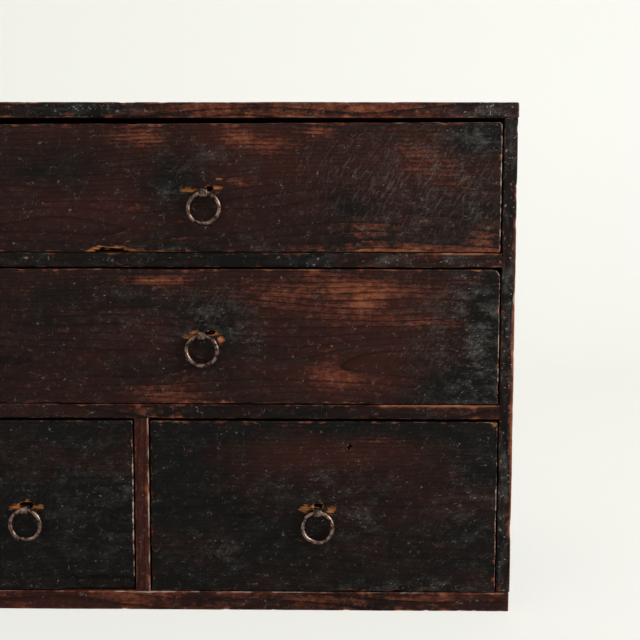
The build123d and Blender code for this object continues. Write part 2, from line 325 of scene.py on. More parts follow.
def skin(lines, wood):
    """The quads between wood and air on a grid of lines, and the points that they use. Along each axis a quad stands
    where the cell before and the cell behind differ, with its front to the air."""
    padded = np.pad(wood, 1).astype(np.int8)
    counts = [len(line) for line in lines]
    quads = []
    for axis in range(3):
        keep = [slice(1, -1)] * 3
        keep[axis] = slice(None)
        change = np.diff(padded, axis=axis)[tuple(keep)]
        offsets = np.zeros((4, 3), int)
        offsets[[1, 2], (axis + 1) % 3] = 1
        offsets[[2, 3], (axis + 2) % 3] = 1
        for turn, ring in ((-1, offsets), (1, offsets[::-1])):
            at = np.argwhere(change == turn)[:, None, :] + ring
            quads.append(np.ravel_multi_index(tuple(np.moveaxis(at, 2, 0)), counts))
    used, quads = np.unique(np.concatenate(quads), return_inverse=True)
    places = np.unravel_index(used, counts)
    points = np.stack([line[place] for line, place in zip(lines, places)], axis=1)
    return points, quads.reshape(-1, 4)


FACES = ("-x", "+x", "-y", "+y", "-z", "+z")


def face_distances(points, low, high):
    """How far each point lies inside the board's six outer faces, in the order of FACES."""
    return np.stack([points - low, high - points], axis=2).reshape(len(points), 6)


def open_pairs(hidden):
    """The pairs of outer faces, as places in FACES, that meet in an open arris."""
    pairs = [(i, j) for i in range(6) for j in range(i + 1, 6) if i // 2 != j // 2]
    return [(i, j) for i, j in pairs if not {FACES[i], FACES[j], FACES[i] + FACES[j]} & set(hidden)]


def arris_distance(depths, hidden):
    """The distance to the nearest open arris: the smallest, over the open pairs of faces, of the larger distance."""
    nearest = np.full(len(depths), 99.0)
    for i, j in open_pairs(hidden):
        nearest = np.minimum(nearest, np.maximum(depths[:, i], depths[:, j]))
    return nearest


def rounded(points, low, high, radius, axes=(0, 1, 2)):
    """Square corners made round. The nearest point of the box shrunk by the radius is the centre, and the offset from
    it is scaled by its largest part over its length, so squares round that centre become circles or spheres."""
    axes = list(axes)
    inner = points[:, axes]
    centre = np.clip(inner, low[axes] + radius[:, None], high[axes] - radius[:, None])
    offset = inner - centre
    length = np.maximum(np.linalg.norm(offset, axis=1), 1e-9)
    result = points.copy()
    result[:, axes] = centre + offset * (np.abs(offset).max(axis=1) / length)[:, None]
    return result


def nick_places(board, low, high, random):
    """Random places along the open arrises, each with the way out of the wood there, a reach and a depth."""
    pairs = open_pairs(board.hidden)
    lengths = np.array([(high - low)[3 - i // 2 - j // 2] for i, j in pairs])
    for _ in range(board.nicks):
        i, j = pairs[random.choice(len(pairs), p=lengths / lengths.sum())]
        place = random.uniform(low, high)
        out = np.zeros(3)
        for face in (i, j):
            place[face // 2] = (low, high)[face % 2][face // 2]
            out[face // 2] = (-1, 1)[face % 2] * math.sqrt(0.5)
        yield place, out, random.uniform(0.8, 3.2), random.uniform(0.15, 0.7)


SHARPEST = 0.18  # mm, the radius that even the sharpest arris has
RUB_REACH = 5  # mm over which the rubbing of an arris ends
CLEARANCE = 0.03  # mm that each face sinks, so that boards never share a plane
HOLLOW_FADE = 3.5  # mm under a face, where its hollow ends
FRONT_FADE = 6  # mm behind the front, where its spots and gouges end
GOUGE_EDGE = 0.25  # strength under which a gouge leaves the front whole
GOUGE_DEPTH = 4  # mm, of the deepest
BROAD_FACE = 0.05  # mm within which a point lies on one of the two broad faces
SHARP_ANGLE = math.radians(42)  # between two quads that are shaded apart


def worn_board(board, settings, material):
    """Builds one board's worn skin in place of its CAD node.

    Arrises are made round with a radius that noise varies. Each open face sinks by hollow x noise, fading inwards,
    nicks push arrises in by depth x exp(-(distance / reach)^2), and gouges push the front in by their soft ellipses.
    Where the lower edge is lost, the front is pushed in under a wavy line.
    """
    planes, cells = solid_cells(board.node)
    extra = [[run[1:] for run in board.fine if run[0] == axis] for axis in range(3)]
    lines = [fine_lines(planes[axis], board.step[axis], extra[axis]) for axis in range(3)]
    inside = [np.searchsorted(planes[a], (lines[a][1:] + lines[a][:-1]) / 2) - 1 for a in range(3)]
    points, quads = skin(lines, cells[np.ix_(*inside)])
    low, high = (np.array([line[end] for line in planes]) for end in (0, -1))
    seed = sum(map(ord, board.node))
    random = np.random.default_rng(seed)
    hollow = settings.hollow / MM
    depths = face_distances(points, low, high)
    arris = arris_distance(depths, board.hidden)
    at_arris = np.exp(-((arris / RUB_REACH) ** 2))

    uneven = 0.5 + value_noise(points, 17, seed) + 0.35 * value_noise(points, 4, seed + 1)
    radius = board.arris * settings.rounding * uneven
    moved = rounded(points, low, high, SHARPEST + np.maximum(radius - SHARPEST, 0) * at_arris)
    for x_side, z_side, corner_radius in board.corners:
        near = (depths[:, x_side] < corner_radius) & (depths[:, 4 + z_side] < corner_radius)
        moved[near] = rounded(moved[near], low, high, np.full(near.sum(), corner_radius), axes=(0, 2))
    for face in range(6):
        axis, into = face // 2, (1, -1)[face % 2]
        sink = CLEARANCE
        if FACES[face] not in board.hidden + board.level:
            flat = points.copy()
            flat[:, axis] = face * 50  # a place of its own in the noise
            broad_hollow = 0.75 * value_noise(flat, 38, seed + face) ** 2
            sink = sink + hollow * (broad_hollow + 0.25 * value_noise(flat, 9, seed + 9 + face))
        moved[:, axis] += into * sink * np.clip(1 - depths[:, face] / HOLLOW_FADE, 0, 1)
    chipped = np.zeros(len(points))
    crumbly = 0.6 + 0.8 * value_noise(points, 1.2, seed)
    for place, out, reach, depth in nick_places(board, low, high, random):
        near = np.exp(-(np.linalg.norm(points - place, axis=1) / reach) ** 2)
        moved -= out * (depth * near * crumbly)[:, None]
        chipped = np.maximum(chipped, near)
    front = np.clip(1 - depths[:, 2] / FRONT_FADE, 0, 1)
    gouge = np.zeros(len(points))
    if board.gouges:
        ragged = points + 2.4 * (value_noise(points, (3.2, 50, 1.0), seed + 20) - 0.5)[:, None]
        gouge = soft_spots(ragged, board.gouges, 1.4) * (0.6 + 0.7 * value_noise(points, (4, 50, 0.7), seed + 21))
        gouge = np.where(gouge < GOUGE_EDGE, 0, gouge - GOUGE_EDGE)
        moved[:, 1] += np.minimum(gouge, GOUGE_DEPTH) * front
    if board.lost:
        start, top, depth = board.lost
        edge = top + 1.6 * (value_noise(points, 7, seed + 23) - 0.5) - points[:, 2]
        share = np.clip(edge / 1.4, 0, 1) * np.clip((points[:, 0] - start) / 12, 0, 1)
        moved[:, 1] += depth * share * (0.7 + 0.6 * value_noise(points, 6, seed + 24)) * front
        from_line = np.abs(edge) + 0.25 * np.clip(high[0] - 2 - points[:, 0], 0, None)
        arris = np.where(edge > 0.8, 9, np.minimum(arris, from_line))  # a new arris along the wavy line
    if board.droop:
        rise = (points[:, 2] - low[2]) / (high[2] - low[2])
        moved[:, 2] -= board.droop * rise**4 * (high[0] - points[:, 0]) / (high[0] - low[0])

    piece = new_piece(f"worn_{board.node}", moved, quads, board.node, material)
    along = "xyz".index(board.grain)
    thin = int(np.argmin(high - low))
    across = 3 - along - thin
    shift = [random.uniform(-900, 900, 3)[0], random.uniform(-0.3, 0.3) * (high - low)[across], 0]  # a random place in the wood's figure
    grain = points[:, [along, across, thin]] - [0, (low + high)[across] / 2, low[thin]]
    write_attribute(piece, "grain", grain + shift)
    write_attribute(piece, "arris", arris)
    broad = value_noise(points, (60, 40, 22), seed + 31) - 0.5
    worn = board.worn + 0.25 * broad + soft_spots(points, board.worn_spots) * front + 0.5 * chipped
    tone = board.tone + 0.5 * (value_noise(points, (75, 50, 30), seed + 37) - 0.5)
    # the tone spots, where those beside the pulls paint the rings' shadow
    tone += soft_spots(points, board.tone_spots) * front
    raw = gouge * front
    # pale arrises: a little everywhere from wear, and in the spots a painted highlight where an arris faces the lamp
    pale = 0.4 + soft_spots(points, board.pale_spots)
    # grey dust all over; the spots on the parts nearest the lamp paint its sheen
    dusty_and_sheen = 0.14 + soft_spots(points, board.dust_spots) * front
    # wear holds the rubbing, the tone with its painted ring shadows, and the gouges' depth, which also paints their
    # shade
    write_attribute(piece, "wear", np.stack([worn, tone, raw], axis=1))
    broad_face = depths[:, [2 * thin, 2 * thin + 1]].min(axis=1) < BROAD_FACE
    scratches = (0.06 + soft_spots(points, board.scratch_spots) * front) * broad_face
    # marks: scratches, the pale arrises with their painted highlight, and the dust with its painted sheen
    write_attribute(piece, "marks", np.stack([scratches, pale, dusty_and_sheen], axis=1))
    piece.data.set_sharp_from_angle(angle=SHARP_ANGLE)
    return piece


# ---------------------------------------------------------------- wood
RING_SPACING = 2.8  # mm between growth rings
RING_SWAY = 26.0  # mm by which they wander


def stretched_noise(tree, place, size, detail=2.0, roughness=0.5, turn=0, distortion=0.0):
    """A noise whose cells have the three sizes along axes that are turned by some degrees about the third."""
    turned = (0, 0, math.radians(turn))
    cells = add(tree, "Mapping", {"Vector": place, "Rotation": turned, "Scale": size}, vector_type="TEXTURE")
    sockets = {"Vector": cells, "Scale": 1.0, "Detail": detail, "Roughness": roughness, "Distortion": distortion}
    return add(tree, "TexNoise", sockets).outputs["Fac"]


def highest_peaks(tree, place, rows, rise, detail, roughness, distortion=0.0):
    """The highest of several stretched noises, each nothing under its least value and at its strength a rise above."""
    highest = 0.0
    for turn, size, least, strength in rows:
        field = stretched_noise(tree, place, size, detail, roughness, turn, distortion)
        peak = add(tree, "MapRange", {0: field, 1: least, 2: least + rise, 4: strength})
        highest = add(tree, "Math", {0: highest, 1: peak}, operation="MAXIMUM")
    return highest


def end_material(tree, height, strength, depth, sockets):
    """Adds the relief, whose depth is in millimetres, the surface and the output."""
    bump = add(tree, "Bump", {"Height": height, "Strength": strength, "Distance": depth * MM})
    surface = add(tree, "BsdfPrincipled", {**sockets, "Normal": bump})
    add(tree, "OutputMaterial", {"Surface": surface})


def wood_figure(tree, grain):
    """Growth rings and fibres of a softwood such as cedar: the fraction of the distance to the pith over the rings'
    spacing climbs slowly through the early wood and ends sharply in the late wood."""
    sway = stretched_noise(tree, grain, (260, 64, 64), 2.0, 0.45)
    sway = add(tree, "Math", {0: sway, 1: RING_SWAY}, operation="MULTIPLY")
    pith = add(tree, "Mapping", {"Vector": grain, "Location": (0, 4, 30), "Scale": (0.0, 1, 1)})
    distance = add(tree, "VectorMath", {0: pith}, operation="LENGTH").outputs["Value"]
    swayed = add(tree, "Math", {0: distance, 1: sway}, operation="ADD")
    rings = add(tree, "Math", {0: swayed, 1: RING_SPACING}, operation="DIVIDE")
    part = add(tree, "Math", {0: rings}, operation="FRACT")
    late = add(tree, "Math", {0: part, 1: 3.4}, operation="POWER").outputs[0]
    return late, stretched_noise(tree, grain, (22, 0.8, 0.8), 3.0, 0.6)


def worn_lacquer(colours):
    """Lacquered cedar, thinly brushed black over red and rubbed for a century: the lacquer is nearly black where thick
    and maroon where thin, it crumbles to red and orange wood, and its arrises, chips and scratches are pale. Light is
    painted in as well: a highlight on the arrises that face the lamp at the right, a grey sheen over the parts nearest
    it, shadows of the rings in the lacquer's tone, and shade that turns deep gouges black. The coat is dull, so it
    shines less than a new one."""
    material, tree = new_material("worn_lacquered_cedar")
    grain = add(tree, "Attribute", attribute_name="grain").outputs["Vector"]
    arris = add(tree, "Attribute", attribute_name="arris").outputs["Fac"]
    wear, marked = (add(tree, "Attribute", attribute_name=name).outputs["Vector"] for name in ("wear", "marks"))
    worn, tone, raw = add(tree, "SeparateXYZ", {0: wear}).outputs
    scratched, pale_and_highlit, dusty_and_sheen = add(tree, "SeparateXYZ", {0: marked}).outputs
    late, fibre = wood_figure(tree, grain)
    broad = stretched_noise(tree, grain, (34, 14, 14), 3.0, 0.55)  # areas that cloths reach
    crumble = stretched_noise(tree, grain, (6, 3.4, 3.4), 8.0, 0.78)  # the crumbling of the lacquer
    grime = stretched_noise(tree, grain, (16, 10, 10), 6.0, 0.65)  # dust that settled
    dent = stretched_noise(tree, grain, (6, 3.6, 3.6), 5.0, 0.6)
    ragged = stretched_noise(tree, grain, (12, 5, 5), 4.0, 0.6)  # the edge of the rubbing along an arris

    # how far the lacquer is rubbed through: the wear and the noises added up, and more within 3 mm of an arris
    far = add(tree, "Math", {0: ragged, 1: 3.0, 2: arris}, operation="MULTIPLY_ADD")
    rubbed = add(tree, "MapRange", {0: far, 1: 1.5, 2: 3.2, 3: -1.25, 4: -1.55})
    for value, weight in ((worn, 1.0), (broad, 0.8), (crumble, 1.8), (fibre, 0.5), (late, -0.3)):
        rubbed = add(tree, "Math", {0: value, 1: weight, 2: rubbed}, operation="MULTIPLY_ADD")
    through, bare = (
        add(tree, "MapRange", {0: rubbed, 1: start, 2: end}, interpolation_type="SMOOTHSTEP")
        for start, end in ((0.22, 0.72), (0.5, 1.05))
    )

    # lacquer from black to red, under grey dust that, where its spots lie on the parts nearest the lamp,
    # is a painted sheen
    red = add(tree, "Math", {0: tone, 1: -0.85}, operation="ADD")
    for value, weight in ((broad, 0.6), (crumble, 0.8), (fibre, 0.3)):
        red = add(tree, "Math", {0: value, 1: weight, 2: red}, operation="MULTIPLY_ADD")
    red = add(tree, "MapRange", {0: red, 1: 0.1, 2: 0.85})
    film_and_sheen = add(tree, "MapRange", {0: grime, 1: 0.46, 2: 0.72})
    film_and_sheen = add(tree, "Math", {0: film_and_sheen, 1: dusty_and_sheen}, operation="MULTIPLY")
    speckled = add(tree, "MapRange", {0: crumble, 1: 0.4, 2: 0.62, 3: 0.15, 4: 1.3})
    film_and_sheen = add(tree, "Math", {0: film_and_sheen, 1: speckled}, operation="MULTIPLY", use_clamp=True)
    deep_rings = add(tree, "MapRange", {0: late, 1: 0.3, 2: 0.95, 3: 1.0, 4: 0.45})
    black, maroon, dust, red_wood, orange_wood, pale, fleck, raw_wood = (
        (*getattr(colours, name), 1)
        for name in ("black", "maroon", "dust", "red_wood", "orange_wood", "arris", "fleck", "raw")
    )
    wood = add(tree, "Mix", {0: bare, 6: red_wood, 7: orange_wood}, data_type="RGBA").outputs[2]
    colour = black
    for share, tint in ((red, maroon), (film_and_sheen, dust), (through, wood)):
        colour = add(tree, "Mix", {0: share, 6: colour, 7: tint}, data_type="RGBA").outputs[2]
    colour = add(tree, "Mix", {0: 1.0, 6: colour, 7: deep_rings}, data_type="RGBA", blend_type="MULTIPLY").outputs[2]

    # the arris itself is pale, in a line about 0.5 mm wide with breaks; the pale is worn wood,
    # and where its spots raise it, a painted highlight
    line = arris
    for value, weight in ((ragged, 4.5), (pale_and_highlit, -0.9)):
        line = add(tree, "Math", {0: value, 1: weight, 2: line}, operation="MULTIPLY_ADD")
    line = add(tree, "MapRange", {0: line, 1: 1.2, 2: 2.0, 3: 1.0, 4: 0.0}, interpolation_type="SMOOTHSTEP")
    line = add(tree, "Math", {0: line, 1: pale_and_highlit}, operation="MULTIPLY", use_clamp=True)

    # chips 1 to 4 mm long that lean either way, where a stretched noise peaks, thicker in dust and painted sheen
    leaning = ((38, (3.6, 1.2, 3), 0.69, 0.9), (-32, (2.8, 1.0, 3), 0.7, 0.8), (4, (4.2, 0.9, 3), 0.69, 0.7))
    chips = highest_peaks(tree, grain, leaning, 0.08, 1.0, 0.6)
    clustered = add(tree, "Math", {0: grime, 1: 5.0, 2: -2.6}, operation="MULTIPLY_ADD")
    clustered = add(tree, "Math", {0: dusty_and_sheen, 1: clustered}, operation="ADD", use_clamp=True)
    chips = add(tree, "Math", {0: chips, 1: clustered}, operation="MULTIPLY")

    # hooked hairlines where a wandering noise crosses its middle, and strokes 12 mm long that lean or lie
    hair = add(tree, "Math", {0: stretched_noise(tree, grain, (8, 8, 8)), 1: 0.5}, operation="SUBTRACT")
    hair = add(tree, "Math", {0: hair}, operation="ABSOLUTE")
    hair = add(tree, "MapRange", {0: hair, 1: 0.002, 2: 0.007, 3: 1.0, 4: 0.0})
    broken = add(tree, "MapRange", {0: dent, 1: 0.53, 2: 0.6, 4: 0.5})
    hairs = add(tree, "Math", {0: hair, 1: broken}, operation="MULTIPLY")
    strokes = (
        (60, (9, 1.8, 40), 0.55, 0.24),
        (74, (8, 0.9, 40), 0.62, 0.38),
        (-34, (6, 0.7, 40), 0.65, 0.45),
        (6, (12, 0.6, 40), 0.66, 0.45),
    )
    strokes = highest_peaks(tree, grain, strokes, 0.14, 2.0, 0.5, 0.7)
    amount = add(tree, "Math", {0: scratched, 1: 0.8}, operation="MULTIPLY", use_clamp=True)
    marks = add(tree, "Math", {0: strokes, 1: amount}, operation="MULTIPLY")
    marks = add(tree, "Math", {0: marks, 1: hairs}, operation="MAXIMUM")
    for share, tint in ((line, pale), (chips, fleck), (marks, fleck)):
        colour = add(tree, "Mix", {0: share, 6: colour, 7: tint}, data_type="RGBA").outputs[2]

    # torn wood, bright in its fibres, with painted shade that darkens it and makes it black where the gouge is deep
    ragged_raw = add(tree, "Math", {0: crumble, 1: 3.2, 2: -0.6}, operation="MULTIPLY_ADD")
    ragged_raw = add(tree, "Math", {0: ragged_raw, 1: raw}, operation="MULTIPLY")
    torn = add(tree, "MapRange", {0: ragged_raw, 1: 0.08, 2: 0.3})
    bright = -1.0
    for value, weight in ((fibre, 1.4), (crumble, 2.6)):
        bright = add(tree, "Math", {0: value, 1: weight, 2: bright}, operation="MULTIPLY_ADD")
    bright = add(tree, "MapRange", {0: bright, 1: 0.5, 2: 1.35, 3: 0.05, 4: 1.35})
    # the first darkens a gouge's shallow rim; the second is painted shade, fading to black between 1.1 and 1.5 mm deep
    for start, end, least in ((0.9, 0.15, 0.3), (1.1, 1.5, 0.01)):
        depth = add(tree, "MapRange", {0: raw, 1: start, 2: end, 3: 1.0, 4: least})
        bright = add(tree, "Math", {0: bright, 1: depth}, operation="MULTIPLY")
    torn_wood_with_hollow_shade = add(tree, "Mix", {0: 1.0, 6: raw_wood, 7: bright}, data_type="RGBA", blend_type="MULTIPLY").outputs[2]
    colour = add(tree, "Mix", {0: torn, 6: colour, 7: torn_wood_with_hollow_shade}, data_type="RGBA").outputs[2]

    # relief of 0.2 mm at most, and a dullness that follows it
    height = dent
    for value, weight in ((crumble, 0.5), (late, -0.25), (through, -0.3), (fibre, 0.3), (chips, -0.5), (marks, -0.5)):
        height = add(tree, "Math", {0: value, 1: weight, 2: height}, operation="MULTIPLY_ADD")
    rough = 0.44
    for value, weight in ((through, 0.14), (dent, 0.25), (film_and_sheen, 0.15), (torn, 0.25)):
        rough = add(tree, "Math", {0: value, 1: weight, 2: rough}, operation="MULTIPLY_ADD")
    sockets = {"Base Color": colour, "Roughness": rough, "Specular IOR Level": 0.06}
    end_material(tree, height, 0.8, 0.2, sockets)
    return material


def bare_wood(colours):
    """Unlacquered cedar, sawn and planed and then browned by age and dust: the late wood is darker, and grey soiling
    lies over both. It is matt."""
    material, tree = new_material("bare_cedar")
    grain = add(tree, "Attribute", attribute_name="grain").outputs["Vector"]
    arris = add(tree, "Attribute", attribute_name="arris").outputs["Fac"]
    early_colour, late_colour, dust = ((*getattr(colours, name), 1) for name in ("early", "late", "dust"))
    late, fibre = wood_figure(tree, grain)
    figure = add(tree, "Math", {0: fibre, 1: 0.7, 2: late}, operation="MULTIPLY_ADD")
    figure = add(tree, "MapRange", {0: figure, 1: 0.2, 2: 1.3})
    soil = stretched_noise(tree, grain, (70, 30, 30), 5.0, 0.6)
    soil = add(tree, "MapRange", {0: soil, 1: 0.38, 2: 0.68, 4: 0.75})
    rubbed = add(tree, "MapRange", {0: arris, 1: 0.0, 2: 2.2, 3: 0.45, 4: 0.0})
    colour = early_colour
    for share, tint in ((figure, late_colour), (soil, dust), (rubbed, late_colour)):
        colour = add(tree, "Mix", {0: share, 6: colour, 7: tint}, data_type="RGBA").outputs[2]
    sockets = {"Base Color": colour, "Roughness": 0.78, "Specular IOR Level": 0.3}
    height = add(tree, "Math", {0: fibre, 1: 0.8, 2: late}, operation="MULTIPLY_ADD")
    end_material(tree, height, 0.6, 0.12, sockets)
    return material


def peg_wood(colours):
    """End grain of small whittled hardwood pegs, dark from handling, with pores about 0.4 mm across."""
    material, tree = new_material("whittled_peg_wood")
    place = add(tree, "TexCoord").outputs["Object"]
    pores = stretched_noise(tree, place, (0.4 * MM,) * 3, 3.0)
    shade = add(tree, "MapRange", {0: pores, 1: 0.3, 2: 0.7, 3: 0.4})
    peg = (*colours.peg, 1)
    colour = add(tree, "Mix", {0: 1.0, 6: peg, 7: shade}, data_type="RGBA", blend_type="MULTIPLY").outputs[2]
    end_material(tree, pores, 0.5, 0.1, {"Base Color": colour, "Roughness": 0.7, "Specular IOR Level": 0.3})
    return material


def hammered_iron(colours):
    """Forged iron wire, hammered by hand and rubbed smooth: brown patina in its hollows, grey with a warm cast on its
    facets, whose marks are about 3 mm across. Its rims, seen at a slant, stay dark under the patina."""
    material, tree = new_material("hammered_iron")
    place = add(tree, "TexCoord").outputs["Object"]
    facet = stretched_noise(tree, place, (3 * MM,) * 3)
    rust = stretched_noise(tree, place, (0.35 * MM,) * 3, 3.0)
    mixed = add(tree, "Math", {0: rust, 1: 0.08, 2: facet}, operation="MULTIPLY_ADD")
    share = add(tree, "MapRange", {0: mixed, 1: 0.4, 2: 0.68})
    dark, bright = (*colours.dark, 1), (*colours.bright, 1)
    colour = add(tree, "Mix", {0: share, 6: dark, 7: bright}, data_type="RGBA").outputs[2]
    rough = add(tree, "MapRange", {0: share, 3: 0.33, 4: 0.24})
    rim = (0.25, 0.2, 0.17, 1)
    sockets = {"Base Color": colour, "Metallic": 0.9, "Roughness": rough, "Specular Tint": rim}
    end_material(tree, mixed, 0.4, 0.015, sockets)
    return material


MATERIALS = {
    "worn_lacquered_cedar": (worn_lacquer, "chest_lacquer"),
    "bare_cedar": (bare_wood, "chest_wood"),
    "whittled_peg_wood": (peg_wood, "chest_wood"),
    "hammered_iron": (hammered_iron, "chest_iron"),
}  # how each is made, and the scene's settings for it


def chest_material(name):
    """A material by its name, made once and then shared."""
    make, settings = MATERIALS[name]
    return bpy.data.materials.get(name) or make(getattr(bpy.context.scene, settings))


# ---------------------------------------------------------------- the boards of this chest
BUTTED = ("-z", "+z")  # a side board stands between the top and the bottom
CASE_BOARDS = (
    Board(
        "top_board", "x", ("-x-z", "+x-z", "+y-z"), (2.2, 2.2, 2.5), 1.0, 0.22, 0.55,
        worn_spots=((45, 361, 75, 7, 0.35), (130, 361, 30, 7, 0.25)),
        tone_spots=((-95, 361, 50, 8, -0.4), (195, 361, 30, 8, -0.5)),
        dust_spots=((-80, 361, 40, 8, 0.6), (195, 361, 40, 8, 1.3)),
        pale_spots=((60, 366, 100, 2, 0.3), (200, 360, 30, 10, 0.5)),
        level=("-z",), nicks=60,
    ),
    Board(
        "bottom_board", "x", ("-x+z", "+x+z", "+y+z"), (2.2, 2.2, 2.5), 0.8, 0.22, 0.6,
        worn_spots=((-50, 12, 25, 3, 0.4), (-55, 6, 12, 6, 0.25), (40, 13, 30, 2, 0.4), (80, 7, 30, 5, 0.3),
            (150, 9, 40, 4, 0.3)),
        tone_spots=((0, 5, 20, 6, -0.4), (110, 3, 20, 4, -0.4)),
        pale_spots=((-50, 14, 40, 2, 0.8), (40, 14, 40, 2, 0.5), (150, 14, 40, 2, 0.3)),
        level=("+z",), nicks=50,
    ),
    Board(
        "left_side_board", "z", BUTTED, (2.5, 2.2, 2.2), 1.2, 0.08, 0.25,
        dust_spots=((-216, 180, 60, 200, 0.4),),
        nicks=50,
    ),
    Board(
        "right_side_board", "z", BUTTED, (2.5, 2.2, 2.2), 0.9, 0.05, 0.15,
        worn_spots=((221, 170, 2.5, 130, 0.8), (216, 225, 4, 20, 0.2), (217, 90, 3, 40, 0.15)),
        dust_spots=((216, 180, 60, 200, 1.3),),
        pale_spots=((221, 228, 3, 5, 2.0), (221, 190, 4, 60, 0.5)),
        nicks=50,
    ),
    Board(
        "upper_shelf", "x", ("-x", "+x", "+y"), (2.0, 6.0, 1.8), 0.8, -0.02, 0.12,
        worn_spots=((185, 260, 26, 1.6, 0.7), (-55, 260, 16, 1.6, 0.4)),
        tone_spots=((150, 255, 70, 8, 0.3),),
        dust_spots=((150, 255, 70, 8, 1.0), (-150, 255, 60, 8, 0.3)),
        pale_spots=((185, 260, 30, 3, 0.4),),
    ),
    Board(
        "lower_shelf", "x", ("-x", "+x", "+y"), (2.0, 6.0, 1.8), 0.8, 0.04, 0.35,
        worn_spots=((165, 151.5, 44, 1.4, 0.9), (180, 147, 32, 7, 0.28), (-40, 148, 30, 5, 0.25)),
        pale_spots=((165, 152, 40, 3, 0.4),),
    ),
    Board(
        "partition", "z", ("-z", "+z", "+y"), (1.8, 6.0, 2.0), 0.8, 0.3, 0.9,
        pale_spots=((-40.5, 75, 2.5, 90, 0.8),),
        nicks=16,
    ),
)
BACK_BOARDS = tuple(Board(f"back_plank_{i}", "x", ("-y",), (2.6, 2.5, 2.6), 0.6, nicks=14) for i in (1, 2, 3))


def front_board(node, arris, **wear):
    """A drawer's front, whose back is hidden and whose grid is the finest."""
    return Board(node, "x", ("+y",), (1.4, 2.5, 1.4), arris, **wear)


